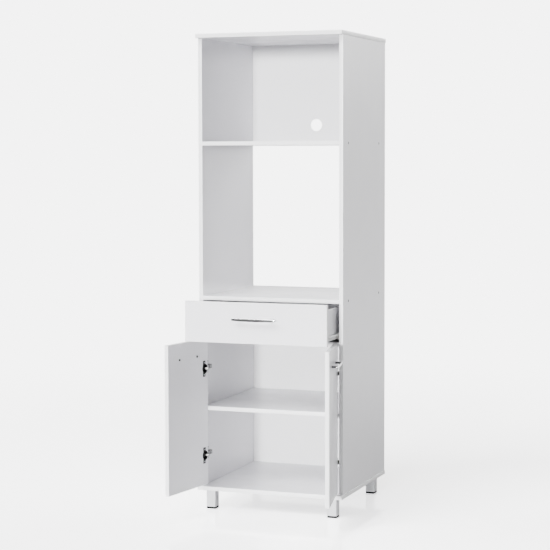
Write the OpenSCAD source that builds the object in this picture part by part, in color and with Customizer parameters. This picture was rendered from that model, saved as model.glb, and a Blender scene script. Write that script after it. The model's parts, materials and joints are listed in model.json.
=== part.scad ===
// Tall free-standing microwave cabinet on four square legs.
// From the top: a closed-back niche with a cable hole, an open-back microwave
// niche, a drawer on roller runners, and a cupboard with two hinged doors and
// one loose shelf. Drawn with the doors open and the drawer part-way out.
// Millimetres, +Z up, front towards -Y, floor at Z = 0.

/* [Carcass] */
// Width over the two side panels
cab_w = 600; // [560:1:800]
// Depth of a side panel
side_d = 550; // [530:1:600]
// Thickness of the boards
board_t = 16; // [16:0.5:19]
// Overall height above the floor
total_h = 1880; // [1850:1:2000]
// How far the top and bottom panels stand out past each side panel
cap_over = 2; // [0:0.5:6]
// How far the top and bottom panels reach forward over the fronts
cap_lap = 23; // [21:0.5:30]
// Thickness of the back panels
back_t = 3; // [3:0.5:5]
// Position of the side panels' front edge along Y
front_y = -130; // [-200:1:0]

/* [Levels] */
// Underside of the bottom panel, which is the height of the legs
base_z = 77; // [70:1:120]
// Underside of the divider under the drawer
divider_z = 669; // [660:1:672]
// Underside of the microwave shelf
mw_shelf_z = 834; // [830:1:838]
// Clear height of the microwave niche
niche_h = 594; // [400:1:600]
// Underside of the loose shelf in the cupboard
loose_shelf_z = 395; // [330:1:460]

/* [Fronts] */
// Width over the drawer front, and over the two closed doors
fronts_w = 580; // [576:1:588]
// Gap between the two closed doors
door_gap = 3; // [2:0.5:5]
// Gap between a closed front and the side panels' front edges
front_gap = 5.5; // [5.5:0.5:6]
// Lower edge of the doors
door_z = 100; // [98:1:104]
// Upper edge of the doors
door_top_z = 682; // [676:1:682]
// Lower edge of the drawer front
drawer_front_z = 686; // [686:1:690]
// Upper edge of the drawer front
drawer_front_top = 844; // [838:1:846]
// Distance of each handle below the upper edge of its front
handle_drop = 64; // [40:1:80]

/* [Pose] */
// Opening angle of the left door
left_open = 98.5; // [0:0.1:105]
// Opening angle of the right door
right_open = 102.3; // [0:0.1:105]
// How far the drawer is pulled out
drawer_out = 142.5; // [0:0.5:350]

/* [Legs] */
// Side of the square leg tube
leg_s = 38; // [30:1:45]
// Outer face of a leg from the middle of the cabinet
leg_x = 273; // [240:1:276]
// Thickness of the foot pad that shows
pad_h = 6; // [4:0.5:8]

/* [Small parts] */
// Diameter of the cable hole
cable_d = 50; // [40:1:60]
// Height of the cable hole's centre above the floor
cable_z = 1530; // [1495:1:1700]
// Hole spacing of the drawer handle
drawer_handle_cc = 128; // [128:32:192]
// Hole spacing of a door handle
door_handle_cc = 128; // [96:32:160]
// Height of the lower hinges above the floor
hinge_low_z = 218; // [170:1:260]
// Height of the upper hinges above the floor
hinge_high_z = 564; // [520:1:572]

/* [Hidden] */

white_board = [0.95, 0.95, 0.95];
nickel = [0.72, 0.72, 0.74];
satin = [0.80, 0.81, 0.82];

// Planes of the carcass
yf = front_y;
yr = front_y + side_d;
xo = cab_w / 2;
xi = cab_w / 2 - board_t;
cap_x = xo + cap_over;
cap_y = yf - cap_lap;
base_top = base_z + board_t;
top_z = total_h - board_t;
mw_top = mw_shelf_z + board_t;
upper_z = mw_top + niche_h;
loose_top = loose_shelf_z + board_t;

// Bolts and dowels of the carcass
bolt_ys = [yf + 66, yf + 464];
dowel_ys = [yf + 130, yf + 400];
fixed_zs = [divider_z, mw_shelf_z, upper_z];

// Shelf pins and their spare holes
pin_ys = [yf + 50, yr - 50];
pin_z = loose_shelf_z - 4;
pin_step = 64;

// Doors: closed outline, hinge axis and cup
fx = fronts_w / 2;
door_w = fx - door_gap / 2;
face_y = yf - front_gap;
door_y = face_y - board_t;
hinge_a = 14;
hinge_b = 10;
pivot_x = fx - hinge_a;
pivot_y = face_y - hinge_b;
cup_c = 21.5 - hinge_a;
hinge_zs = [hinge_low_z, hinge_high_z];
door_handle_z = door_top_z - handle_drop;
handle_out = 29;

// Drawer box and runners
box_x = xi - 12.5;
box_t = 12;
box_z = 700;
box_top = 818;
box_len = 500;
box_back = face_y + box_len;
roller_r = 8.85;
front_roller_y = yf + 14;
rear_roller_y = face_y + box_len - 13;
front_roller_z = 707.6;
rear_roller_z = 707.8;
roller_x = xi - 9.8;

// Legs
leg_ys = [yf, yf + 496];
leg_top = base_z - 2.5;

module block(x0, x1, y0, y1, z0, z1) {
  translate([x0, y0, z0]) cube([x1 - x0, y1 - y0, z1 - z0]);
}

// A cylinder along +X that starts at its origin
module rod_x(r, l) { rotate([0, 90, 0]) cylinder(r = r, h = l, $fn = 48); }
// A cylinder along +Y that starts at its origin
module rod_y(r, l) { rotate([-90, 0, 0]) cylinder(r = r, h = l, $fn = 48); }

// Draws its children on the left and, mirrored, on the right
module both() { children(); mirror([1, 0, 0]) children(); }

// ---- carcass joinery -----------------------------------------------------

// Confirmat bolt along +X from its head: grow widens it into its own hole
module bolt(grow = 0) {
  difference() {
    union() {
      rod_x(5 + grow, 4);
      rod_x(3.5 + grow, board_t);
      rod_x(2.5 + grow, 48 + grow);
    }
    if (grow == 0)
      translate([-0.01, 0, 0]) rotate([0, 90, 0]) cylinder(r = 2.31, h = 3, $fn = 6);
  }
}

module side_bolt_set(grow = 0) {
  for (z = fixed_zs, y = bolt_ys)
    translate([-xo, y, z + board_t / 2]) bolt(grow);
}

module cap_bolt_set(grow = 0) {
  for (y = bolt_ys) {
    translate([-xo + board_t / 2, y, total_h]) rotate([0, 90, 0]) bolt(grow);
    translate([-xo + board_t / 2, y, base_z]) rotate([0, -90, 0]) bolt(grow);
  }
}

module dowel_set(grow = 0) {
  for (z = fixed_zs, y = dowel_ys)
    translate([-xo + 6 - grow, y, z + board_t / 2]) rod_x(4 + grow, 30 + 2 * grow);
  for (y = dowel_ys) {
    translate([-xo + board_t / 2, y, total_h - 10 - 20 - grow])
      cylinder(r = 4 + grow, h = 30 - 4 + 2 * grow, $fn = 48);
    translate([-xo + board_t / 2, y, base_z + 4 - grow])
      cylinder(r = 4 + grow, h = 26 + 2 * grow, $fn = 48);
  }
}

// Nails of the back panels, along -Y from the head
nail_pts = concat(
  [for (z = [1500, 1610, 1720, 1830]) [xo - board_t / 2, z]],
  [for (z = [130, 270, 410, 550, 690, 800]) [xo - board_t / 2, z]]);
nail_mid = [[0, base_z + 8], [180, base_z + 8], [0, mw_shelf_z + 6],
  [180, mw_shelf_z + 6], [0, upper_z + 10], [180, upper_z + 10],
  [0, top_z + 6], [180, top_z + 6]];

module nail(grow = 0) {
  translate([0, -14 + back_t - grow, 0]) rod_y(0.8 + grow, 14 + grow);
  if (grow == 0) translate([0, back_t, 0]) rod_y(1.8, 0.6);
}

module nail_set(grow = 0) {
  both() for (p = nail_pts) translate([p[0], yr, p[1]]) nail(grow);
  for (p = nail_mid) {
    translate([p[0], yr, p[1]]) nail(grow);
    if (p[0] > 0) translate([-p[0], yr, p[1]]) nail(grow);
  }
}

// Left side panel; the right one is its mirror image
module side_panel() {
  difference() {
    block(-xo, -xi, yf, yr, base_top, top_z);
    side_bolt_set(0.05);
    cap_bolt_set(0.05);
    dowel_set(0.05);
    nail_set(0.05);
    for (y = pin_ys, k = [-1, 0, 1])
      translate([-xi - 9, y, pin_z + k * pin_step]) rod_x(2.5, 10);
    for (z = hinge_zs) hinge_plate_holes(z);
    for (y = runner_screw_ys)
      translate([-xi - 11, y, runner_screw_z]) rod_x(1.75, 12);
  }
}

module left_side_panel() { color(white_board) side_panel(); }
module right_side_panel() { color(white_board) mirror([1, 0, 0]) side_panel(); }

module top_panel() {
  color(white_board) difference() {
    block(-cap_x, cap_x, cap_y, yr, top_z, total_h);
    both() { cap_bolt_set(0.05); dowel_set(0.05); }
    nail_set(0.05);
  }
}

module bottom_panel() {
  color(white_board) difference() {
    block(-cap_x, cap_x, cap_y, yr, base_z, base_top);
    both() { cap_bolt_set(0.05); dowel_set(0.05); }
    nail_set(0.05);
    leg_screw_set(0.05);
  }
}

// A fixed board between the sides, with its bolt and dowel holes
module fixed_shelf(z, setback = 0) {
  difference() {
    block(-xi, xi, yf + setback, yr, z, z + board_t);
    both() { side_bolt_set(0.05); dowel_set(0.05); }
    nail_set(0.05);
  }
}

module upper_shelf() { color(white_board) fixed_shelf(upper_z); }
module microwave_shelf() { color(white_board) fixed_shelf(mw_shelf_z); }
module drawer_divider() { color(white_board) fixed_shelf(divider_z, 2); }

module upper_back_panel() {
  color(white_board) difference() {
    block(-xo + 2, xo - 2, yr, yr + back_t, upper_z + 2, total_h - 2);
    nail_set(0.05);
    translate([0, yr - 1, cable_z]) rod_y(cable_d / 2, back_t + 2);
  }
}

module lower_back_panel() {
  color(white_board) difference() {
    block(-xo + 2, xo - 2, yr, yr + back_t, base_z + 2, mw_top - 2);
    nail_set(0.05);
  }
}

module adjustable_shelf() {
  color(white_board)
    block(-xi + 1, xi - 1, yf + 2, yr - 4, loose_shelf_z, loose_top);
}

// Spoon pin: a round shank in the side panel and a flat plate under the shelf
module shelf_pins() {
  color(nickel) both() for (y = pin_ys) translate([-xi, y, 0]) {
    translate([-8, 0, pin_z]) rod_x(2.45, 9.5);
    block(0, 1.5, -4.5, 4.5, pin_z - 6, pin_z + 4);
    block(0, 11, -4.5, 4.5, pin_z + 2.5, pin_z + 4);
  }
}

module side_bolts() { color(nickel) both() side_bolt_set(); }
module cap_bolts() { color(nickel) both() cap_bolt_set(); }
module dowels() { color([0.80, 0.66, 0.45]) both() dowel_set(); }
module back_panel_nails() { color(nickel) nail_set(); }

// ---- legs ----------------------------------------------------------------

plate_s = 54;

module leg_screw_set(grow = 0) {
  both() for (y = leg_ys, sx = [-1, 1], sy = [-1, 1])
    translate([leg_x - leg_s / 2 + sx * 23, y + leg_s / 2 + sy * 23, 0]) {
      translate([0, 0, leg_top]) cylinder(r = 1.9 + grow, h = 13, $fn = 32);
      if (grow == 0)
        translate([0, 0, leg_top - 1.6]) cylinder(r = 3.6, h = 1.6, $fn = 32);
    }
}

module leg(x0, y) {
  difference() {
    union() {
      block(x0, x0 + leg_s, y, y + leg_s, pad_h, leg_top);
      block(x0 + leg_s / 2 - plate_s / 2, x0 + leg_s / 2 + plate_s / 2,
        y + leg_s / 2 - plate_s / 2, y + leg_s / 2 + plate_s / 2, leg_top, base_z);
    }
    block(x0 + 1.6, x0 + leg_s - 1.6, y + 1.6, y + leg_s - 1.6, pad_h - 1, leg_top - 1);
    leg_screw_set(0.05);
  }
}

module leg_front_left() { color(satin) leg(-leg_x, leg_ys[0]); }
module leg_front_right() { color(satin) leg(leg_x - leg_s, leg_ys[0]); }
module leg_rear_left() { color(satin) leg(-leg_x, leg_ys[1]); }
module leg_rear_right() { color(satin) leg(leg_x - leg_s, leg_ys[1]); }

// Foot pad: a square sole with a plug that fills the mouth of the tube
module foot_pads() {
  color([0.05, 0.05, 0.05]) both() for (y = leg_ys) {
    block(-leg_x, -leg_x + leg_s, y, y + leg_s, 0, pad_h);
    block(-leg_x + 1.65, -leg_x + leg_s - 1.65, y + 1.65, y + leg_s - 1.65, pad_h, pad_h + 10);
  }
}

module leg_screws() { color(nickel) leg_screw_set(); }

// ---- hinges --------------------------------------------------------------
// Left-hand hinge in closed-door coordinates with its origin on the axis:
// +X runs along the door from its hinge edge, +Y into the cabinet.

module at_hinge(z) { translate([-pivot_x, pivot_y, z]) children(); }

// Local X of the side panel's inner face and local Y of its front edge
side_x = pivot_x - xi;
edge_y = yf - pivot_y;

module hinge_plate_holes(z) {
  for (dz = [-16, 16])
    translate([-xi - 11, yf + 37, z + dz]) rod_x(2.55, 12);
}

module hinge_plate() {
  difference() {
    union() {
      block(side_x, side_x + 2.5, edge_y + 31, edge_y + 43, -24, 24);
      block(side_x, side_x + 7, edge_y + 16, edge_y + 62, -8, 8);
    }
    for (dz = [-16, 16])
      translate([side_x - 1, edge_y + 37, dz]) rod_x(2.55, 5);
    translate([side_x + 3, edge_y + 28, 0]) rod_x(1.75, 5);
    translate([side_x + 3, edge_y + 54, 0]) rod_x(1.75, 5);
  }
}

// Arm: a channel over the plate and a gooseneck that reaches round the
// door's edge, into the cup, to the eye on the axis
module hinge_arm() {
  difference() {
    union() {
      block(side_x + 7, side_x + 9, edge_y + 4, edge_y + 66, -7.8, 7.8);
      block(side_x + 7, side_x + 9, edge_y + 2.3, edge_y + 4.1, -4.5, 4.5);
      translate([0, 0, -4.5]) linear_extrude(height = 9) difference() {
        circle(r = 20.4, $fn = 120);
        circle(r = 17.8, $fn = 120);
        translate([-30, -30]) square([60, 28.7]);
        translate([-30, -30]) square([30.6, 60]);
      }
      translate([0, 0, -4.5]) linear_extrude(height = 9)
        translate([1.5, -1.3]) square([18.8, 2.6]);
      translate([0, 0, -7.2]) cylinder(r = 2.4, h = 14.4, $fn = 48);
      block(side_x + 5.2, side_x + 7.1, edge_y + 63, edge_y + 66, -7.8, 7.8);
    }
    translate([0, 0, -8]) cylinder(r = 1.3, h = 16, $fn = 48);
    translate([side_x + 6, edge_y + 28, 0]) rod_x(1.75, 4);
    translate([side_x + 6, edge_y + 54, 0]) rod_x(1.75, 4);
  }
}

module hinge_screw_pair() {
  for (dz = [-16, 16]) translate([0, edge_y + 37, dz]) {
    translate([side_x - 10, 0, 0]) rod_x(2.5, 13);
    translate([side_x + 2.5, 0, 0]) difference() {
      rod_x(4, 1.8);
      block(0.9, 2, -3, 3, -0.5, 0.5);
      block(0.9, 2, -0.5, 0.5, -3, 3);
    }
  }
  for (dy = [28, 54]) translate([0, edge_y + dy, 0]) {
    translate([side_x + 3.2, 0, 0]) rod_x(1.7, 6);
    translate([side_x + 9, 0, 0]) difference() {
      rod_x(3.2, 1.6);
      block(0.8, 2, -2.4, 2.4, -0.4, 0.4);
      block(0.8, 2, -0.4, 0.4, -2.4, 2.4);
    }
  }
}

// Cup: a pressed shell let into the door, its flange, two lugs and the pin
module hinge_cup() {
  difference() {
    union() {
      translate([cup_c, hinge_b - 13.5, 0]) rod_y(17.4, 13.5);
      translate([cup_c, hinge_b, 0]) rod_y(18.4, 1.2);
      block(cup_c - 2, cup_c + 14, hinge_b, hinge_b + 1.2, -31.5, 31.5);
    }
    difference() {
      translate([cup_c, hinge_b - 12.8, 0]) rod_y(16.4, 20);
      for (s = [-1, 1])
        block(-3, 2.4, -4, 2.4, s > 0 ? 7.6 : -12, s > 0 ? 12 : -7.6);
    }
    for (dz = [-24, 24]) translate([cup_c + 6, hinge_b - 1, dz]) rod_y(1.8, 4);
    translate([0, 0, -10.5]) cylinder(r = 1.27, h = 21, $fn = 48);
  }
}

module hinge_pin() { translate([0, 0, -10.4]) cylinder(r = 1.25, h = 20.8, $fn = 48); }

module cup_screw_pair() {
  for (dz = [-24, 24]) translate([cup_c + 6, hinge_b, dz]) {
    translate([0, -11, 0]) rod_y(1.75, 12.2);
    translate([0, 1.2, 0]) difference() {
      rod_y(3.4, 1.5);
      block(-2.6, 2.6, 0.7, 2, -0.4, 0.4);
      block(-0.4, 0.4, 0.7, 2, -2.6, 2.6);
    }
  }
}

module left_hinge_plates() { color(nickel) for (z = hinge_zs) at_hinge(z) hinge_plate(); }
module right_hinge_plates() { color(nickel) mirror([1, 0, 0]) for (z = hinge_zs) at_hinge(z) hinge_plate(); }
module left_hinge_arms() { color(nickel) for (z = hinge_zs) at_hinge(z) hinge_arm(); }
module right_hinge_arms() { color(nickel) mirror([1, 0, 0]) for (z = hinge_zs) at_hinge(z) hinge_arm(); }
module hinge_plate_screws() { color(nickel) both() for (z = hinge_zs) at_hinge(z) hinge_screw_pair(); }

// ---- handles -------------------------------------------------------------

// Bow handle on a face that looks towards -Y, centred on its origin: a strap
// that swells in the middle of its length, on two square posts
module bow_handle(cc) {
  half = cc / 2 + 25;
  bow = 4;
  r_bow = (half * half + bow * bow) / (2 * bow);
  swell = 1.8;
  r_swell = (half * half + swell * swell) / (2 * swell);
  difference() {
    union() {
      intersection() {
        translate([0, -handle_out + r_bow, -10]) difference() {
          cylinder(r = r_bow, h = 20, $fn = 360);
          translate([0, 0, -1]) cylinder(r = r_bow - 4.2, h = 22, $fn = 360);
        }
        block(-half, half, -handle_out - 1, -handle_out + 12, -8, 8);
        translate([0, 5, -r_swell + 6.3]) rotate([90, 0, 0]) cylinder(r = r_swell, h = 60, $fn = 360);
        translate([0, 5, r_swell - 6.3]) rotate([90, 0, 0]) cylinder(r = r_swell, h = 60, $fn = 360);
      }
      for (s = [-1, 1]) translate([s * cc / 2 - 4, -handle_out + 5.5, -4.2])
        cube([8, handle_out - 5.5, 8.4]);
    }
    for (s = [-1, 1]) translate([s * cc / 2, -16, 0]) rod_y(2, 17);
  }
}

module handle_screw_pair(cc) {
  for (s = [-1, 1]) translate([s * cc / 2, 0, 0]) {
    translate([0, -9, 0]) rod_y(1.95, 9 + board_t);
    translate([0, board_t, 0]) difference() {
      rod_y(4.2, 2.4);
      block(-3, 3, 1.2, 3, -0.5, 0.5);
      block(-0.5, 0.5, 1.2, 3, -3, 3);
    }
  }
}

// ---- doors ---------------------------------------------------------------

// Turns its children from the closed pose to the open one
module left_pose() {
  translate([-pivot_x, pivot_y, 0]) rotate([0, 0, -left_open])
    translate([pivot_x, -pivot_y, 0]) children();
}
module right_pose() {
  translate([pivot_x, pivot_y, 0]) rotate([0, 0, right_open])
    translate([-pivot_x, -pivot_y, 0]) children();
}

handle_x = fx - door_w / 2;

// Left door board, closed
module door_board() {
  difference() {
    block(-fx, -fx + door_w, door_y, face_y, door_z, door_top_z);
    for (z = hinge_zs) at_hinge(z) {
      translate([cup_c, hinge_b - 13.5, 0]) rod_y(17.5, 15);
      for (dz = [-24, 24]) translate([cup_c + 6, hinge_b - 11.5, dz]) rod_y(1.8, 13);
    }
    for (s = [-1, 1])
      translate([-handle_x + s * door_handle_cc / 2, door_y - 1, door_handle_z]) rod_y(2.2, board_t + 2);
  }
}

module left_door_panel() { color(white_board) left_pose() door_board(); }
module left_door_handle() {
  color(satin) left_pose() translate([-handle_x, door_y, door_handle_z]) bow_handle(door_handle_cc);
}
module left_handle_screws() {
  color(nickel) left_pose() translate([-handle_x, door_y, door_handle_z]) handle_screw_pair(door_handle_cc);
}
module left_hinge_cups() { color(nickel) left_pose() for (z = hinge_zs) at_hinge(z) hinge_cup(); }
module left_hinge_pins() { color(nickel) left_pose() for (z = hinge_zs) at_hinge(z) hinge_pin(); }
module left_cup_screws() { color(nickel) left_pose() for (z = hinge_zs) at_hinge(z) cup_screw_pair(); }

module right_door_panel() { color(white_board) right_pose() mirror([1, 0, 0]) door_board(); }
module right_door_handle() {
  color(satin) right_pose() translate([handle_x, door_y, door_handle_z]) bow_handle(door_handle_cc);
}
module right_handle_screws() {
  color(nickel) right_pose() translate([handle_x, door_y, door_handle_z]) handle_screw_pair(door_handle_cc);
}
module right_hinge_cups() {
  color(nickel) right_pose() mirror([1, 0, 0]) for (z = hinge_zs) at_hinge(z) hinge_cup();
}
module right_hinge_pins() {
  color(nickel) right_pose() mirror([1, 0, 0]) for (z = hinge_zs) at_hinge(z) hinge_pin();
}
module right_cup_screws() {
  color(nickel) right_pose() mirror([1, 0, 0]) for (z = hinge_zs) at_hinge(z) cup_screw_pair();
}

// ---- drawer --------------------------------------------------------------

module drawer_pose() { translate([0, -drawer_out, 0]) children(); }

groove_z = box_z + 8;
drawer_handle_z = drawer_front_top - handle_drop;
cam_zs = [box_z + 26, box_z + 92];
back_screw_zs = [box_z + 32, box_z + 92];
runner_screw_ys = [yf + 46, yf + 240, yf + 450];
runner_screw_z = 708;
drawer_screw_ys = [face_y + 40, face_y + 240, face_y + 440];

// Bolt of a cam fitting: in the front board, with its neck in the box side
module cam_bolt_set(grow = 0) {
  both() for (z = cam_zs) translate([-box_x + box_t / 2, face_y, z]) {
    translate([0, -10, 0]) rod_y(2.5 + grow, 10);
    translate([0, -0.01, 0]) rod_y(2 + grow, 18);
  }
}

module cam_set(grow = 0) {
  both() for (z = cam_zs) translate([-box_x + box_t - 10.5, face_y + 24, z]) rod_x(7.5 + grow, 10.5 + 2 * grow);
}

module back_screw_set(grow = 0) {
  both() for (z = back_screw_zs) translate([-box_x, box_back - 6, z]) {
    rod_x(1.9 + grow, 34);
    rod_x(3.6 + grow, 2.2);
  }
}

module drawer_front() {
  color(white_board) drawer_pose() difference() {
    block(-fx, fx, door_y, face_y, drawer_front_z, drawer_front_top);
    block(-box_x + box_t - 4, box_x - box_t + 4, face_y - 5, face_y + 1, groove_z, groove_z + 3);
    cam_bolt_set(0.05);
    for (s = [-1, 1])
      translate([s * drawer_handle_cc / 2, door_y - 1, drawer_handle_z]) rod_y(2.2, board_t + 2);
  }
}

module drawer_side() {
  difference() {
    block(-box_x, -box_x + box_t, face_y, box_back, box_z, box_top);
    block(-box_x + box_t - 4, -box_x + box_t + 1, face_y - 1, box_back + 1, groove_z, groove_z + 3);
    cam_set(0.05);
    cam_bolt_set(0.05);
    back_screw_set(0.05);
    for (y = drawer_screw_ys)
      translate([-box_x + 6, y, box_z - 1]) cylinder(r = 1.75, h = 13, $fn = 32);
  }
}

module drawer_left_side() { color(white_board) drawer_pose() drawer_side(); }
module drawer_right_side() { color(white_board) drawer_pose() mirror([1, 0, 0]) drawer_side(); }

module drawer_back() {
  color(white_board) drawer_pose() difference() {
    block(-box_x + box_t, box_x - box_t, box_back - box_t, box_back, groove_z + 3, box_top - 8);
    back_screw_set(0.05);
  }
}

module drawer_bottom() {
  color(white_board) drawer_pose()
    block(-box_x + box_t - 3.8, box_x - box_t + 3.8, face_y - 4.8, box_back, groove_z + 0.05, groove_z + 2.95);
}

module drawer_cams() {
  color(nickel) drawer_pose() difference() {
    cam_set();
    cam_bolt_set(0.05);
    both() for (z = cam_zs) translate([-box_x + box_t - 1.4, face_y + 24, z]) {
      block(0, 2, -4, 4, -0.8, 0.8);
      block(0, 2, -0.8, 0.8, -4, 4);
    }
  }
}

module drawer_cam_bolts() { color(nickel) drawer_pose() cam_bolt_set(); }
module drawer_back_screws() { color(nickel) drawer_pose() back_screw_set(); }
module drawer_handle() {
  color(satin) drawer_pose() translate([0, door_y, drawer_handle_z]) bow_handle(drawer_handle_cc);
}
module drawer_handle_screws() {
  color(nickel) drawer_pose() translate([0, door_y, drawer_handle_z]) handle_screw_pair(drawer_handle_cc);
}

// Left drawer rail: a corner profile under the box side with a running
// flange that lies on the cabinet's front roller
module drawer_rail() {
  difference() {
    union() {
      block(-box_x - 1.2, -box_x, face_y + 4, box_back, box_z - 1.2, 718);
      block(-box_x - 1.2, -box_x + 11, face_y + 4, box_back, box_z - 1.2, box_z);
      block(-box_x - 10, -box_x - 1.1, face_y + 4, box_back, 716.8, 718);
      block(-box_x - 10, -box_x - 8.8, face_y + 4, box_back, 713, 717);
    }
    for (y = drawer_screw_ys)
      translate([-box_x + 6, y, box_z - 2]) cylinder(r = 1.8, h = 3, $fn = 32);
  }
}

module left_drawer_runner() { color(white_board) drawer_pose() drawer_rail(); }
module right_drawer_runner() { color(white_board) drawer_pose() mirror([1, 0, 0]) drawer_rail(); }

module drawer_runner_screws() {
  color(nickel) drawer_pose() both() for (y = drawer_screw_ys)
    translate([-box_x + 6, y, box_z - 1.2]) {
      cylinder(r = 1.7, h = 13, $fn = 32);
      translate([0, 0, -1.4]) cylinder(r = 3.2, h = 1.4, $fn = 32);
    }
}

// Left cabinet rail: a channel screwed to the side panel
module cabinet_rail() {
  difference() {
    union() {
      block(-xi, -xi + 1.2, yf + 3, yf + 503, 697.4, 721.8);
      block(-xi, -xi + 10.5, yf + 3, yf + 503, 697.4, 698.6);
      block(-xi, -xi + 6.5, yf + 3, yf + 503, 720.6, 721.8);
      block(-xi, -xi + 9.8, yf + 500.5, yf + 503, 698.5, 707);
    }
    for (y = runner_screw_ys)
      translate([-xi - 1, y, runner_screw_z]) rod_x(1.8, 3);
  }
}

module left_cabinet_runner() { color(white_board) cabinet_rail(); }
module right_cabinet_runner() { color(white_board) mirror([1, 0, 0]) cabinet_rail(); }

module cabinet_runner_screws() {
  color(nickel) both() for (y = runner_screw_ys) translate([-xi, y, runner_screw_z]) {
    translate([-10.5, 0, 0]) rod_x(1.7, 11.7);
    translate([1.2, 0, 0]) rod_x(3.1, 1.0);
  }
}

// Rollers: a wheel with a rim groove each side, on a riveted axle
module roller() {
  difference() {
    rod_x(roller_r, 5.6);
    translate([-1, 0, 0]) rod_x(2.05, 8);
    for (x = [-0.01, 4.81]) translate([x, 0, 0]) difference() {
      rod_x(7.2, 0.8);
      translate([-1, 0, 0]) rod_x(4.2, 3);
    }
  }
}

module front_roller_axles() {
  color(nickel) both() translate([-xi, front_roller_y, front_roller_z]) {
    translate([1.2, 0, 0]) rod_x(2, 9.4);
    translate([1.2, 0, 0]) rod_x(3.2, 2.8);
    translate([10, 0, 0]) rod_x(3.5, 0.7);
  }
}

module rear_roller_axles() {
  color(nickel) drawer_pose() both() translate([-box_x - 1.2, rear_roller_y, rear_roller_z]) {
    translate([-7.8, 0, 0]) rod_x(2, 7.8);
    translate([-1.4, 0, 0]) rod_x(3.2, 1.4);
    translate([-8.2, 0, 0]) rod_x(3.4, 0.8);
  }
}

module left_front_roller() {
  color(white_board) translate([-roller_x - 5.6, front_roller_y, front_roller_z]) roller();
}
module right_front_roller() {
  color(white_board) mirror([1, 0, 0]) translate([-roller_x - 5.6, front_roller_y, front_roller_z]) roller();
}
module left_rear_roller() {
  color(white_board) drawer_pose()
    translate([-box_x - 8.4, rear_roller_y, rear_roller_z]) roller();
}
module right_rear_roller() {
  color(white_board) drawer_pose() mirror([1, 0, 0])
    translate([-box_x - 8.4, rear_roller_y, rear_roller_z]) roller();
}

left_side_panel();
right_side_panel();
top_panel();
bottom_panel();
upper_shelf();
microwave_shelf();
drawer_divider();
upper_back_panel();
lower_back_panel();
adjustable_shelf();
shelf_pins();
side_bolts();
cap_bolts();
dowels();
back_panel_nails();
leg_front_left();
leg_front_right();
leg_rear_left();
leg_rear_right();
foot_pads();
leg_screws();
left_hinge_plates();
right_hinge_plates();
left_hinge_arms();
right_hinge_arms();
hinge_plate_screws();
left_cabinet_runner();
right_cabinet_runner();
cabinet_runner_screws();
front_roller_axles();
left_front_roller();
right_front_roller();
drawer_front();
drawer_left_side();
drawer_right_side();
drawer_back();
drawer_bottom();
drawer_cams();
drawer_cam_bolts();
drawer_back_screws();
drawer_handle();
drawer_handle_screws();
left_drawer_runner();
right_drawer_runner();
drawer_runner_screws();
rear_roller_axles();
left_rear_roller();
right_rear_roller();
left_door_panel();
left_door_handle();
left_handle_screws();
left_hinge_cups();
left_hinge_pins();
left_cup_screws();
right_door_panel();
right_door_handle();
right_handle_screws();
right_hinge_cups();
right_hinge_pins();
right_cup_screws();
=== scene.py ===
import bpy
import bmesh
import json
import math
from mathutils import Vector, Matrix

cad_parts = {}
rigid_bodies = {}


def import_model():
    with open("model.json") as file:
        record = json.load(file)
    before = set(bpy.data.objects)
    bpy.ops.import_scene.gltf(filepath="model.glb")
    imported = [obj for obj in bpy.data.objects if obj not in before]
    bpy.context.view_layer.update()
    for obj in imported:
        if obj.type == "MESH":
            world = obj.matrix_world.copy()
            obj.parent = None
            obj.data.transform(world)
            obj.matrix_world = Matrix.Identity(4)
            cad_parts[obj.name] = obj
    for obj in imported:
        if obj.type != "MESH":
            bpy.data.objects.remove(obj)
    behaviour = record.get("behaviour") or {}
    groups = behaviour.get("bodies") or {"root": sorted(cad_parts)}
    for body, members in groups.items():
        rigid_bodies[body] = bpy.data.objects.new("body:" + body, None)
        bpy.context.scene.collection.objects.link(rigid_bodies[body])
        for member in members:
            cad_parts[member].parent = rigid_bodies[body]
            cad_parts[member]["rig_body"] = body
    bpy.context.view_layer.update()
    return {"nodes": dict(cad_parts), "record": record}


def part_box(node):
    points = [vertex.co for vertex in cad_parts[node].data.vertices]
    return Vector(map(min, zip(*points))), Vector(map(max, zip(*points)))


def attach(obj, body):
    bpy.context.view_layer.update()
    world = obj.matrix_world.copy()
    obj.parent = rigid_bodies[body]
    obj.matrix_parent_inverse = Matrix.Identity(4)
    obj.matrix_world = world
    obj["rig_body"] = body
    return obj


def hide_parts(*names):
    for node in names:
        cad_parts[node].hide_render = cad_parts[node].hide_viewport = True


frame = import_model()
nodes = frame["nodes"]
scene = bpy.context.scene
scene.view_settings.view_transform = "AgX"
scene.view_settings.look = "AgX - High Contrast"

# ---------------------------------------------------------------- camera
YAW, PITCH, ROLL = math.radians(20.634), math.radians(3.716), math.radians(-0.13)
fwd = Vector((-math.sin(YAW) * math.cos(PITCH), math.cos(YAW) * math.cos(PITCH), -math.sin(PITCH)))
right = Vector((math.cos(YAW), math.sin(YAW), 0.0))
up = right.cross(fwd)
r2 = right * math.cos(ROLL) + up * math.sin(ROLL)
u2 = up * math.cos(ROLL) - right * math.sin(ROLL)
cam_data = bpy.data.cameras.new("photo_camera")
cam_data.sensor_width = 36.0
cam_data.lens = 1674.654 / 550 * 36.0
cam_data.shift_x = 0.0
cam_data.shift_y = -15.0 / 550.0
cam_data.clip_start, cam_data.clip_end = 0.1, 300.0
camera = bpy.data.objects.new("photo_camera", cam_data)
scene.collection.objects.link(camera)
rot = Matrix((r2, u2, -fwd)).transposed().to_4x4()
camera.matrix_world = Matrix.Translation((2.312833, -6.215769, 1.421060)) @ rot
scene.camera = camera

# ---------------------------------------------------------------- node helpers
BACKDROP = 2.25      # level of the white sweep
FLOOR_GLOW = 0.05    # light the floor gives off
DOME = 0.03          # even light from all round
FLOOR_WHITE = 0.55   # how far the floor is washed out to white
FLOOR_ALBEDO = 1.7   # the floor is burnt out in front of the lens


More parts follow.
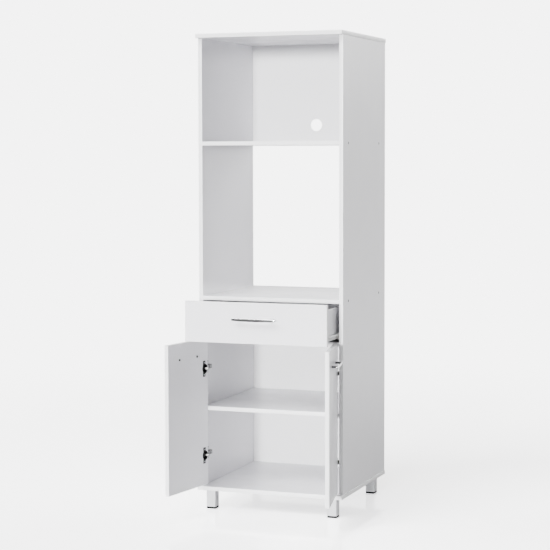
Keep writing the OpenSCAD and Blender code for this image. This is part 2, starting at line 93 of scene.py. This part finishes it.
def node_tree(mat):
    mat.use_nodes = True
    nt = mat.node_tree
    nt.nodes.clear()
    return nt


def add(nt, kind, **inputs):
    n = nt.nodes.new(kind)
    for k, v in inputs.items():
        n.inputs[k].default_value = v
    return n


def object_coords(nt, scale=(1, 1, 1)):
    tc = nt.nodes.new("ShaderNodeTexCoord")
    mp = nt.nodes.new("ShaderNodeMapping")
    mp.inputs["Scale"].default_value = scale
    nt.links.new(tc.outputs["Object"], mp.inputs["Vector"])
    return mp.outputs["Vector"]


def noise(nt, vec, scale, detail=3.0, rough=0.5):
    n = nt.nodes.new("ShaderNodeTexNoise")
    n.inputs["Scale"].default_value = scale
    n.inputs["Detail"].default_value = detail
    n.inputs["Roughness"].default_value = rough
    nt.links.new(vec, n.inputs["Vector"])
    return n.outputs["Fac"]


def ramp(nt, fac, stops):
    r = nt.nodes.new("ShaderNodeValToRGB")
    el = r.color_ramp.elements
    while len(el) < len(stops):
        el.new(0.5)
    for e, (p, c) in zip(el, stops):
        e.position = p
        e.color = c if len(c) == 4 else (*c, 1.0)
    nt.links.new(fac, r.inputs["Fac"])
    return r.outputs["Color"]


def spread(nt, fac, lo, hi, a=0.3, b=0.7):
    m = nt.nodes.new("ShaderNodeMapRange")
    m.inputs["From Min"].default_value = a
    m.inputs["From Max"].default_value = b
    m.inputs["To Min"].default_value = lo
    m.inputs["To Max"].default_value = hi
    nt.links.new(fac, m.inputs["Value"])
    return m.outputs["Result"]


def bump(nt, height, strength, distance, normal=None):
    b = nt.nodes.new("ShaderNodeBump")
    b.inputs["Strength"].default_value = strength
    b.inputs["Distance"].default_value = distance
    nt.links.new(height, b.inputs["Height"])
    if normal is not None:
        nt.links.new(normal, b.inputs["Normal"])
    return b.outputs["Normal"]


def principled(nt, **sockets):
    p = nt.nodes.new("ShaderNodeBsdfPrincipled")
    for k, v in sockets.items():
        p.inputs[k.replace("_", " ")].default_value = v
    out = nt.nodes.new("ShaderNodeOutputMaterial")
    nt.links.new(p.outputs["BSDF"], out.inputs["Surface"])
    return p


def shade(c, k):
    return tuple(min(1.0, x * k) for x in c)


def melamine(name, base, rough=(0.34, 0.44), pearl=0.10, mottle=0.985):
    """Melamine-faced board: a fine pearl texture pressed into the face, with faint mottling and wiped patches."""
    mat = bpy.data.materials.new(name)
    nt = node_tree(mat)
    p = principled(nt, IOR=1.5)
    p.inputs["Specular IOR Level"].default_value = 0.45
    vec = object_coords(nt)
    big = noise(nt, vec, 2.2, 3.0, 0.55)
    nt.links.new(ramp(nt, big, [(0.35, shade(base, mottle)), (0.65, base)]), p.inputs["Base Color"])
    nt.links.new(spread(nt, noise(nt, vec, 9.0, 4.0, 0.6), *rough), p.inputs["Roughness"])
    fine = noise(nt, vec, 900.0, 2.0, 0.6)
    soft = noise(nt, vec, 260.0, 2.0, 0.5)
    n1 = bump(nt, soft, pearl * 0.6, 0.0004)
    nt.links.new(bump(nt, fine, pearl, 0.00012, n1), p.inputs["Normal"])
    return mat


def satin_metal(name, base, rough=(0.2, 0.3), brush=(1, 1, 1), strength=0.08, aniso=0.0, metallic=1.0, scale=160.0):
    """Plated or satin metal: fine brushed or tumbled grain and slightly uneven gloss."""
    mat = bpy.data.materials.new(name)
    nt = node_tree(mat)
    p = principled(nt)
    p.inputs["Metallic"].default_value = metallic
    p.inputs["Anisotropic"].default_value = aniso
    vec = object_coords(nt, brush)
    plain = object_coords(nt)
    nt.links.new(ramp(nt, noise(nt, plain, 25.0, 3.0), [(0.3, shade(base, 0.94)), (0.7, base)]), p.inputs["Base Color"])
    nt.links.new(spread(nt, noise(nt, plain, 60.0, 4.0), *rough), p.inputs["Roughness"])
    nt.links.new(bump(nt, noise(nt, vec, scale, 3.0, 0.6), strength, 0.0003), p.inputs["Normal"])
    return mat


def moulded(name, base, rough=(0.4, 0.55), strength=0.15, scale=700.0):
    """Moulded plastic with a fine spark-eroded texture."""
    mat = bpy.data.materials.new(name)
    nt = node_tree(mat)
    p = principled(nt, IOR=1.46)
    vec = object_coords(nt)
    nt.links.new(ramp(nt, noise(nt, vec, 30.0, 3.0), [(0.3, shade(base, 0.93)), (0.7, base)]), p.inputs["Base Color"])
    nt.links.new(spread(nt, noise(nt, vec, 40.0, 3.0), *rough), p.inputs["Roughness"])
    nt.links.new(bump(nt, noise(nt, vec, scale, 2.0), strength, 0.0002), p.inputs["Normal"])
    return mat


def coated_steel(name, base):
    """White epoxy coat on pressed steel: a slight orange peel under a soft gloss."""
    mat = bpy.data.materials.new(name)
    nt = node_tree(mat)
    p = principled(nt, IOR=1.5)
    vec = object_coords(nt)
    nt.links.new(ramp(nt, noise(nt, vec, 18.0, 3.0), [(0.3, shade(base, 0.96)), (0.7, base)]), p.inputs["Base Color"])
    nt.links.new(spread(nt, noise(nt, vec, 50.0, 3.0), 0.25, 0.4), p.inputs["Roughness"])
    nt.links.new(bump(nt, noise(nt, vec, 420.0, 2.0), 0.12, 0.0003), p.inputs["Normal"])
    return mat


def hardboard(name):
    """Raw back of a fibreboard panel: brown, with short fibres and a fine screen print."""
    mat = bpy.data.materials.new(name)
    nt = node_tree(mat)
    p = principled(nt, Roughness=0.82)
    vec = object_coords(nt, (1.0, 1.0, 1.6))
    fib = noise(nt, vec, 240.0, 6.0, 0.75)
    big = noise(nt, vec, 7.0, 4.0, 0.6)
    mixed = nt.nodes.new("ShaderNodeMath")
    mixed.operation = "MULTIPLY_ADD"
    mixed.inputs[1].default_value = 0.7
    nt.links.new(fib, mixed.inputs[0])
    low = nt.nodes.new("ShaderNodeMath")
    low.operation = "MULTIPLY"
    low.inputs[1].default_value = 0.3
    nt.links.new(big, low.inputs[0])
    nt.links.new(low.outputs[0], mixed.inputs[2])
    nt.links.new(ramp(nt, mixed.outputs[0], [(0.3, (0.20, 0.115, 0.058)), (0.55, (0.33, 0.205, 0.112)), (0.75, (0.45, 0.31, 0.19))]), p.inputs["Base Color"])
    nt.links.new(bump(nt, fib, 0.35, 0.0004), p.inputs["Normal"])
    return mat


def beech(name):
    mat = bpy.data.materials.new(name)
    nt = node_tree(mat)
    p = principled(nt, Roughness=0.6)
    vec = object_coords(nt, (1.0, 1.0, 0.2))
    g = noise(nt, vec, 400.0, 4.0, 0.7)
    nt.links.new(ramp(nt, g, [(0.3, (0.50, 0.34, 0.19)), (0.7, (0.66, 0.49, 0.31))]), p.inputs["Base Color"])
    nt.links.new(bump(nt, g, 0.3, 0.0003), p.inputs["Normal"])
    return mat


M = {
    "board": melamine("white_melamine", (0.905, 0.901, 0.926), rough=(0.20, 0.27), pearl=0.05),
    "band": melamine("white_edge_band", (0.93, 0.93, 0.938), rough=(0.28, 0.36), pearl=0.04, mottle=0.992),
    "box": melamine("white_drawer_board", (0.87, 0.867, 0.89), rough=(0.40, 0.50), pearl=0.08),
    "lacquer": melamine("white_lacquered_panel", (0.93, 0.93, 0.935), rough=(0.42, 0.52), pearl=0.04),
    "raw": hardboard("raw_fibreboard"),
    "leg": satin_metal("satin_silver", (0.80, 0.805, 0.82), (0.32, 0.44), (1, 1, 0.02), 0.05, 0.2, metallic=0.25, scale=900.0),
    "foot": moulded("black_foot_plastic", (0.010, 0.010, 0.011), (0.55, 0.7)),
    "handle": satin_metal("satin_chrome", (0.64, 0.643, 0.652), (0.17, 0.23), (0.05, 0.05, 1), 0.012, 0.0, scale=1600.0),
    # the handle posts are painted dark: painted shade, for the shadow they sit in under the bright strap
    "post": satin_metal("handle_post_painted_shade", (0.20, 0.202, 0.206), (0.42, 0.52), (1, 1, 1), 0.04, scale=900.0),
    # the hinge metals are darker than bare plating: partly their own colour, partly painted shade for the shadows and
    # gaps round the hinges
    "nickel": satin_metal("nickel_plate_painted_shade", (0.30, 0.298, 0.294), (0.42, 0.52), (1, 1, 1), 0.05, metallic=0.85, scale=500.0),
    "pressed": satin_metal("hinge_steel_painted_shade", (0.12, 0.119, 0.118), (0.42, 0.54), (1, 1, 1), 0.08, metallic=0.85, scale=500.0),
    "bolt": satin_metal("burnished_bolt", (0.16, 0.16, 0.165), (0.35, 0.5), (1, 1, 1), 0.1, scale=700.0),
    "zinc": satin_metal("zinc_plate", (0.60, 0.61, 0.63), (0.28, 0.42), (1, 1, 1), 0.1, scale=700.0),
    "rail": coated_steel("white_rail_coat", (0.84, 0.84, 0.83)),
    "nylon": moulded("roller_nylon", (0.78, 0.78, 0.76), (0.35, 0.5), 0.08),
    "beech": beech("beech_dowel"),
}

# ---------------------------------------------------------------- mesh helpers
EYE = Matrix.Identity(4)


def pose_matrix(node):
    """Closed pose to stored pose for a door's pieces; the identity for the rest."""
    if node.startswith("left_door") or node in LEFT_DOOR:
        deg, x = -98.5, -0.276
    elif node.startswith("right_door") or node in RIGHT_DOOR:
        deg, x = 102.3, 0.276
    else:
        return EYE
    return (Matrix.Translation((x, -0.1455, 0)) @ Matrix.Rotation(math.radians(deg), 4, "Z")
            @ Matrix.Translation((-x, 0.1455, 0)))


LEFT_DOOR = set(frame["record"]["behaviour"]["bodies"]["left_door"])
RIGHT_DOOR = set(frame["record"]["behaviour"]["bodies"]["right_door"])


def make_object(name, bm, mats, body, smooth_angle=None):
    me = bpy.data.meshes.new(name)
    bm.to_mesh(me)
    bm.free()
    # normals stored for the old triangles no longer fit the dissolved faces
    for stale in ("custom_normal", "sharp_edge", "sharp_face"):
        if stale in me.attributes:
            me.attributes.remove(me.attributes[stale])
    ob = bpy.data.objects.new(name, me)
    scene.collection.objects.link(ob)
    for m in mats:
        me.materials.append(m)
    for poly in me.polygons:
        poly.use_smooth = smooth_angle is not None
    if smooth_angle is not None:
        me.set_sharp_from_angle(angle=math.radians(smooth_angle))
    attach(ob, body)
    return ob


def welded(node, to_local=None, dissolve=True):
    bm = bmesh.new()
    bm.from_mesh(nodes[node].data)
    bmesh.ops.remove_doubles(bm, verts=bm.verts[:], dist=2e-6)
    if dissolve:
        bmesh.ops.dissolve_limit(bm, angle_limit=math.radians(0.5), use_dissolve_boundaries=False,
                                 verts=bm.verts[:], edges=bm.edges[:])
    if to_local is not None:
        bm.transform(to_local)
    return bm


def bevel_sharp(bm, width, segs=2, angle=40.0, min_len=0.004, pick=None):
    es = [e for e in bm.edges if len(e.link_faces) == 2 and e.calc_face_angle(0) > math.radians(angle)
          and e.calc_length() > min_len and (pick is None or pick(e))]
    if es:
        bmesh.ops.bevel(bm, geom=es, offset=width, offset_type="OFFSET", segments=segs, profile=0.5,
                        affect="EDGES", clamp_overlap=True)


def box_bm(bm, lo, hi):
    r = bmesh.ops.create_cube(bm, size=1.0)
    c = [(a + b) / 2 for a, b in zip(lo, hi)]
    s = [b - a for a, b in zip(lo, hi)]
    for v in r["verts"]:
        v.co = Vector((c[0] + v.co.x * s[0], c[1] + v.co.y * s[1], c[2] + v.co.z * s[2]))
    return r["verts"]


BAND_T = 0.0008


def board(node, bands, mat="board", edge_r=0.0007, back_mat=None):
    """Board with its real holes, broken edges, and edge-band strips on the listed sides."""
    P = pose_matrix(node)
    bm = welded(node, P.inverted())
    lo = Vector([min(v.co[i] for v in bm.verts) for i in range(3)])
    hi = Vector([max(v.co[i] for v in bm.verts) for i in range(3)])
    for ax, sg in bands:
        plane = hi[ax] if sg > 0 else lo[ax]
        for v in bm.verts:
            if abs(v.co[ax] - plane) < 2e-5:
                v.co[ax] -= sg * BAND_T
    bevel_sharp(bm, 0.00018, 1, min_len=0.006)
    if back_mat:
        for f in bm.faces:
            if f.normal.y > 0.9:
                f.material_index = 1
    bm.transform(P)
    body = nodes[node]["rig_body"]
    core = make_object(node + "_core" if bands else node + "_finish", bm, [M[mat]] + ([M[back_mat]] if back_mat else []), body, 30)
    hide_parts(node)
    if bands:
        bb = bmesh.new()
        ends = {ax: any(b[0] == ax for b in bands) for ax in range(3)}
        thick = min(range(3), key=lambda i: hi[i] - lo[i])
        first = bands[0][0]
        for ax, sg in bands:
            one = bmesh.new()
            a, b = lo.copy(), hi.copy()
            if sg > 0:
                a[ax] = hi[ax] - BAND_T
            else:
                b[ax] = lo[ax] + BAND_T
            # strips on the second axis stop against those on the first
            if ax != first:
                for fx, fs in bands:
                    if fx == first:
                        if fs > 0:
                            b[first] = hi[first] - BAND_T
                        else:
                            a[first] = lo[first] + BAND_T
            # sunk a hair below the faces, so that the joint line shows
            a[thick] += 0.00004
            b[thick] -= 0.00004
            box_bm(one, a, b)
            outer = hi[ax] if sg > 0 else lo[ax]
            bevel_sharp(one, edge_r, 3, min_len=0.001,
                        pick=lambda e: all(abs(v.co[ax] - outer) < 1e-6 for v in e.verts)
                        and abs((e.verts[0].co - e.verts[1].co).normalized()[thick]) < 0.5)
            tmp = bpy.data.meshes.new("tmp")
            one.to_mesh(tmp)
            one.free()
            bb.from_mesh(tmp)
            bpy.data.meshes.remove(tmp)
        bb.transform(P)
        make_object(node + "_edge_band", bb, [M["band"]], body, 30)
    return core


def refine(node, mat, width=0.0003, segs=2, min_len=0.002, angle=40.0, smooth=35, dissolve=True):
    bm = welded(node, None, dissolve)
    if width:
        bevel_sharp(bm, width, segs, angle, min_len)
    ob = make_object(node + "_finish", bm, [M[mat]], nodes[node]["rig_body"], smooth)
    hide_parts(node)
    return ob


def dress(node, mat):
    o = nodes[node]
    o.data.materials.clear()
    o.data.materials.append(M[mat])


# ---------------------------------------------------------------- carcass boards
X0, X1, Y0, Y1, Z0, Z1 = (0, -1), (0, 1), (1, -1), (1, 1), (2, -1), (2, 1)
board("left_side_panel", [Y0, Y1])
board("right_side_panel", [Y0, Y1])
board("top_panel", [Y0, X0, X1, Y1])
board("bottom_panel", [Y0, X0, X1, Y1])
board("upper_shelf", [Y0])
board("microwave_shelf", [Y0])
board("drawer_divider", [Y0])
board("adjustable_shelf", [Y0, X0, X1])
board("upper_back_panel", [], "lacquer", back_mat="raw")
board("lower_back_panel", [], "lacquer", back_mat="raw")

# fronts
board("left_door_panel", [X0, X1, Z0, Z1])
board("right_door_panel", [X0, X1, Z0, Z1])
board("drawer_front", [X0, X1, Z0, Z1])

# drawer box
board("drawer_left_side", [Z1], "box", 0.0005)
board("drawer_right_side", [Z1], "box", 0.0005)
board("drawer_back", [Z1], "box", 0.0005)
board("drawer_bottom", [], "lacquer")

# ---------------------------------------------------------------- legs and feet


def rounded_square(s, r, n=5):
    pts = []
    for cx, cy, a0 in ((1, 1, 0), (-1, 1, 90), (-1, -1, 180), (1, -1, 270)):
        for i in range(n + 1):
            a = math.radians(a0 + 90 * i / n)
            pts.append((cx * (s / 2 - r) + r * math.cos(a), cy * (s / 2 - r) + r * math.sin(a)))
    return pts


def loft(bm, rings, close_start=True, close_end=True):
    rows = [[bm.verts.new(p) for p in ring] for ring in rings]
    n = len(rows[0])
    for a, b in zip(rows, rows[1:]):
        for i in range(n):
            bm.faces.new((a[i], a[(i + 1) % n], b[(i + 1) % n], b[i]))
    if close_start:
        bm.faces.new(list(reversed(rows[0])))
    if close_end:
        bm.faces.new(rows[-1])
    return rows


def leg_piece(node):
    lo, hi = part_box(node)
    cx, cy = (lo.x + hi.x) / 2, (lo.y + hi.y) / 2
    bm = bmesh.new()
    z0, z1 = 0.0072, 0.0745
    rings = []
    for z, s, r in ((z0, 0.0372, 0.0016), (z0 + 0.0006, 0.038, 0.002), (z1 - 0.0002, 0.038, 0.002), (z1, 0.038, 0.002)):
        rings.append([(cx + x, cy + y, z) for x, y in rounded_square(s, r)])
    loft(bm, rings)
    # top plate, with rounded corners
    rings = []
    for z, s in ((z1, 0.0536), (z1 + 0.0004, 0.054), (0.0768, 0.054), (0.077, 0.0538)):
        rings.append([(cx + x, cy + y, z) for x, y in rounded_square(s, 0.004)])
    loft(bm, rings)
    # weld bead round the tube under the plate
    rings = []
    for z, s in ((z1 - 0.0016, 0.0384), (z1 - 0.0009, 0.0392), (z1 - 0.0003, 0.0404), (z1 + 0.0001, 0.0406)):
        rings.append([(cx + x, cy + y, z) for x, y in rounded_square(s, 0.0028)])
    loft(bm, rings)
    bmesh.ops.recalc_face_normals(bm, faces=bm.faces[:])
    ob = make_object(node + "_tube", bm, [M["leg"]], "cabinet", 35)
    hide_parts(node)


for n in ("leg_front_left", "leg_front_right", "leg_rear_left", "leg_rear_right"):
    leg_piece(n)

bm = bmesh.new()
for n in ("leg_front_left", "leg_front_right", "leg_rear_left", "leg_rear_right"):
    lo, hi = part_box(n)
    cx, cy = (lo.x + hi.x) / 2, (lo.y + hi.y) / 2
    rings = []
    for z, s, r in ((0.0, 0.0356, 0.0016), (0.0006, 0.0372, 0.002), (0.0014, 0.038, 0.0022),
                    (0.0064, 0.038, 0.0022), (0.007, 0.0376, 0.002), (0.0072, 0.0366, 0.0016)):
        rings.append([(cx + x, cy + y, z) for x, y in rounded_square(s, r)])
    loft(bm, rings)
bmesh.ops.recalc_face_normals(bm, faces=bm.faces[:])
pads = make_object("foot_pad_soles", bm, [M["foot"]], "cabinet", 35)
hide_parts("foot_pads")

# ---------------------------------------------------------------- handles


def handle(node, cc, origin, P, body):
    """Bow handle: a lens-section strap that swells and bows in the middle, on two legs that run into it."""
    half = cc / 2 + 0.025
    bow, out = 0.004, 0.029
    bm = bmesh.new()
    rings = []
    steps = 48
    for i in range(steps + 1):
        # closer steps towards the ends, where the strap is rounded off
        u = math.sin((i / steps - 0.5) * math.pi)
        x = u * half
        q = x / half
        sag = bow * q * q
        h = 0.0063 - 0.0018 * q * q
        t = 0.0042 - 0.0006 * q * q
        e = max(0.0, (abs(x) - (half - 0.005)) / 0.005)
        k = math.sqrt(max(0.0, 1 - e * e))
        k = max(k, 0.04)
        ring = []
        m = 24
        for j in range(m):
            a = 2 * math.pi * j / m
            cz, cy = math.cos(a), math.sin(a)
            # superellipse: crowned alike outside and inside
            p = 2.4
            z = h * math.copysign(abs(cz) ** (2 / p), cz)
            y = t / 2 * math.copysign(abs(cy) ** (2 / p), cy)
            if y < 0:
                y *= 1.0
            ring.append((x, -out + sag + t / 2 + y * (0.35 + 0.65 * k), z * k))
        rings.append(ring)
    loft(bm, rings)
    strap_faces = len(bm.faces)
    for s in (-1, 1):
        xc = s * cc / 2
        rings = []
        q = xc / half
        y_in = -out + bow * q * q + 0.0020
        for f, w, d in ((0.0, 0.0046, 0.0042), (0.16, 0.0042, 0.0040), (0.4, 0.0039, 0.0039), (0.8, 0.0039, 0.0040), (0.97, 0.0041, 0.0042), (1.0, 0.0040, 0.0041)):
            y = y_in * (1 - f)
            rings.append([(xc + px * w / 0.004, y, pz * d / 0.004) for px, pz in rounded_square(0.008, 0.0022, 4)])
        loft(bm, rings)
    bm.faces.ensure_lookup_table()
    # the legs take the dark post material: painted shade on the posts
    for f in bm.faces[strap_faces:]:
        f.material_index = 1
    bmesh.ops.recalc_face_normals(bm, faces=bm.faces[:])
    bm.transform(P @ Matrix.Translation(origin))
    ob = make_object(node + "_bow", bm, [M["handle"], M["post"]], body, 50)
    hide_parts(node)


DOOR_Y = -0.1515
handle("drawer_handle", 0.128, (0.0, DOOR_Y - 0.1425, 0.780), EYE, "drawer")
HX = 0.290 - 0.2885 / 2
handle("left_door_handle", 0.128, (-HX, DOOR_Y, 0.618), pose_matrix("left_door_handle"), "left_door")
handle("right_door_handle", 0.128, (HX, DOOR_Y, 0.618), pose_matrix("right_door_handle"), "right_door")

# ---------------------------------------------------------------- hinges, runners, fasteners
# hinge arms, plates and cups take the darkened metals, which carry painted shade
for n in ("left_hinge_arms", "right_hinge_arms"):
    refine(n, "nickel", 0.0003, 2, 0.0025)
for n in ("left_hinge_plates", "right_hinge_plates"):
    refine(n, "pressed", 0.0003, 2, 0.0025)
for n in ("left_hinge_cups", "right_hinge_cups"):
    refine(n, "pressed", 0.00025, 2, 0.003)
for n in ("left_cabinet_runner", "right_cabinet_runner", "left_drawer_runner", "right_drawer_runner"):
    refine(n, "rail", 0.0003, 2, 0.0015)
for n in ("left_front_roller", "right_front_roller", "left_rear_roller", "right_rear_roller"):
    refine(n, "nylon", 0)
for n in ("left_hinge_pins", "right_hinge_pins"):
    refine(n, "zinc", 0)
refine("cap_bolts", "bolt", 0)
# no dark heads show beside the divider: those are covered by white caps
heads = refine("side_bolts", "bolt", 0)
heads.data.materials.append(M["nylon"])
for poly in heads.data.polygons:
    if 0.66 < poly.center.z < 0.70:
        poly.material_index = 1
for n in ("shelf_pins", "back_panel_nails", "leg_screws", "hinge_plate_screws",
          "cabinet_runner_screws", "front_roller_axles", "drawer_cams", "drawer_cam_bolts", "drawer_back_screws",
          "drawer_runner_screws", "rear_roller_axles", "left_cup_screws", "right_cup_screws"):
    refine(n, "zinc", 0)
for n in ("drawer_handle_screws", "left_handle_screws", "right_handle_screws"):
    refine(n, "bolt", 0)
refine("dowels", "beech", 0)

# ---------------------------------------------------------------- floor, light
bm = bmesh.new()
R = 60.0
ring = [bm.verts.new((R * math.cos(2 * math.pi * i / 96), R * math.sin(2 * math.pi * i / 96), 0.0)) for i in range(96)]
bm.faces.new(ring)
me = bpy.data.meshes.new("floor")
bm.to_mesh(me)
bm.free()
floor = bpy.data.objects.new("floor", me)
scene.collection.objects.link(floor)
fmat = bpy.data.materials.new("pale_floor")
nt = node_tree(fmat)


def link_math(nt, op, a, b, c=None):
    m = nt.nodes.new("ShaderNodeMath")
    m.operation = op
    for k, v in enumerate((a, b, c)):
        if v is None:
            continue
        if isinstance(v, (int, float)):
            m.inputs[k].default_value = v
        else:
            nt.links.new(v, m.inputs[k])
    return m.outputs[0]


def smooth_range(nt, value, a, b, lo=0.0, hi=1.0):
    m = nt.nodes.new("ShaderNodeMapRange")
    m.interpolation_type = "SMOOTHSTEP"
    for k, v in (("From Min", a), ("From Max", b), ("To Min", lo), ("To Max", hi)):
        m.inputs[k].default_value = v
    nt.links.new(value, m.inputs["Value"])
    return m.outputs["Result"]


rays = nt.nodes.new("ShaderNodeLightPath")
glow = link_math(nt, "MULTIPLY_ADD", rays.outputs["Is Camera Ray"], FLOOR_WHITE, FLOOR_GLOW)
glow.node.name = "near_glow"
vec = object_coords(nt)
em = nt.nodes.new("ShaderNodeEmission")
em.inputs["Color"].default_value = (1, 1, 1, 1)
far = link_math(nt, "MULTIPLY_ADD", rays.outputs["Is Glossy Ray"], 0.6, rays.outputs["Is Camera Ray"])
far = link_math(nt, "MULTIPLY", far, BACKDROP)
far.node.name = "far_glow"
nt.links.new(far, em.inputs["Strength"])
mix = nt.nodes.new("ShaderNodeMixShader")
ln = nt.nodes.new("ShaderNodeVectorMath")
ln.operation = "LENGTH"
nt.links.new(vec, ln.inputs[0])
nt.links.new(smooth_range(nt, ln.outputs["Value"], 2.0, 5.0), mix.inputs["Fac"])
# only the eye sees the floor's gloss and its full white; to the cabinet it is a matt surface
matt = nt.nodes.new("ShaderNodeBsdfDiffuse")
matt.inputs["Color"].default_value = (0.80, 0.80, 0.80, 1)
white = nt.nodes.new("ShaderNodeBsdfDiffuse")
white.inputs["Color"].default_value = (FLOOR_ALBEDO, FLOOR_ALBEDO, FLOOR_ALBEDO, 1)
mirror = nt.nodes.new("ShaderNodeBsdfGlossy")
mirror.inputs["Color"].default_value = (1, 1, 1, 1)
nt.links.new(spread(nt, noise(nt, vec, 6.0, 3.0), 0.07, 0.11), mirror.inputs["Roughness"])
fres = nt.nodes.new("ShaderNodeFresnel")
fres.inputs["IOR"].default_value = 1.5
coated = nt.nodes.new("ShaderNodeMixShader")
nt.links.new(fres.outputs["Fac"], coated.inputs["Fac"])
nt.links.new(white.outputs["BSDF"], coated.inputs[1])
nt.links.new(mirror.outputs["BSDF"], coated.inputs[2])
base = nt.nodes.new("ShaderNodeMixShader")
nt.links.new(rays.outputs["Is Camera Ray"], base.inputs["Fac"])
nt.links.new(matt.outputs["BSDF"], base.inputs[1])
nt.links.new(coated.outputs["Shader"], base.inputs[2])
near_glow = nt.nodes.new("ShaderNodeEmission")
near_glow.inputs["Color"].default_value = (1, 1, 1, 1)
nt.links.new(glow, near_glow.inputs["Strength"])
near = nt.nodes.new("ShaderNodeAddShader")
nt.links.new(base.outputs["Shader"], near.inputs[0])
nt.links.new(near_glow.outputs["Emission"], near.inputs[1])
nt.links.new(near.outputs["Shader"], mix.inputs[1])
nt.links.new(em.outputs["Emission"], mix.inputs[2])
# the floor in front stays dark in the metal's reflections, as under a shaded set
dark = nt.nodes.new("ShaderNodeEmission")
dark.inputs["Color"].default_value = (1, 1, 1, 1)
dark.inputs["Strength"].default_value = 0.06
fsep = nt.nodes.new("ShaderNodeSeparateXYZ")
nt.links.new(vec, fsep.inputs[0])
front = smooth_range(nt, fsep.outputs["Y"], -0.2, -0.8)
shade_mix = nt.nodes.new("ShaderNodeMixShader")
nt.links.new(link_math(nt, "MULTIPLY", link_math(nt, "MULTIPLY", front, rays.outputs["Is Glossy Ray"]), 0.85), shade_mix.inputs["Fac"])
nt.links.new(mix.outputs["Shader"], shade_mix.inputs[1])
nt.links.new(dark.outputs["Emission"], shade_mix.inputs[2])
out = nt.nodes.new("ShaderNodeOutputMaterial")
nt.links.new(shade_mix.outputs["Shader"], out.inputs["Surface"])
me.materials.append(fmat)

world = bpy.data.worlds.new("studio")
scene.world = world
world.use_nodes = True
nt = world.node_tree
nt.nodes.clear()
tc = nt.nodes.new("ShaderNodeTexCoord")
sep = nt.nodes.new("ShaderNodeSeparateXYZ")
nt.links.new(tc.outputs["Generated"], sep.inputs[0])
lit = nt.nodes.new("ShaderNodeBackground")
lit.name = "dome"
lit.inputs["Color"].default_value = (1.0, 1.0, 1.02, 1)
lit.inputs["Strength"].default_value = DOME
# what gloss sees: the white sweep behind, and a bank of lamps high in front
sweep = link_math(nt, "MULTIPLY", smooth_range(nt, sep.outputs["Y"], -0.05, 0.45), smooth_range(nt, sep.outputs["Z"], 0.9, 0.4))
bank = link_math(nt, "MULTIPLY", smooth_range(nt, sep.outputs["Y"], 0.0, -0.3), smooth_range(nt, sep.outputs["Z"], 0.30, 0.50))
lp = nt.nodes.new("ShaderNodeLightPath")
gloss = link_math(nt, "MULTIPLY", link_math(nt, "ADD", link_math(nt, "MULTIPLY", sweep, 0.6 * BACKDROP), link_math(nt, "MULTIPLY", bank, 0.9)), lp.outputs["Is Glossy Ray"])
extra = nt.nodes.new("ShaderNodeBackground")
extra.name = "gloss"
extra.inputs["Color"].default_value = (1, 1, 1, 1)
nt.links.new(gloss, extra.inputs["Strength"])
both = nt.nodes.new("ShaderNodeAddShader")
nt.links.new(lit.outputs["Background"], both.inputs[0])
nt.links.new(extra.outputs["Background"], both.inputs[1])
seen = nt.nodes.new("ShaderNodeBackground")
seen.inputs["Color"].default_value = (BACKDROP, BACKDROP, BACKDROP, 1)
mx = nt.nodes.new("ShaderNodeMixShader")
wo = nt.nodes.new("ShaderNodeOutputWorld")
nt.links.new(lp.outputs["Is Camera Ray"], mx.inputs["Fac"])
nt.links.new(both.outputs["Shader"], mx.inputs[1])
nt.links.new(seen.outputs["Background"], mx.inputs[2])
nt.links.new(mx.outputs["Shader"], wo.inputs["Surface"])


def sun(name, azimuth, elevation, strength, angle):
    """azimuth 0 shines from straight in front, positive from the right."""
    a, e = math.radians(azimuth), math.radians(elevation)
    d = Vector((math.sin(a) * math.cos(e), -math.cos(a) * math.cos(e), math.sin(e)))
    li = bpy.data.lights.new(name, "SUN")
    li.energy = strength
    li.angle = math.radians(angle)
    ob = bpy.data.objects.new(name, li)
    scene.collection.objects.link(ob)
    ob.rotation_mode = "QUATERNION"
    ob.rotation_quaternion = d.to_track_quat("Z", "Y")
    return ob


sun("key_front", 0, 4, 1.66, 6)
sun("key_right", 5, 3, 0.92, 8)
sun("high_left", -30, 45, 1.66, 30)
sun("high_front", 0, 45, 0.88, 30)
sun("left_fill", -90, 20, 1.2, 60)
sun("rear_right", 150, 15, 1.0, 30)
sun("right_fill", 120, 20, 0.36, 40)
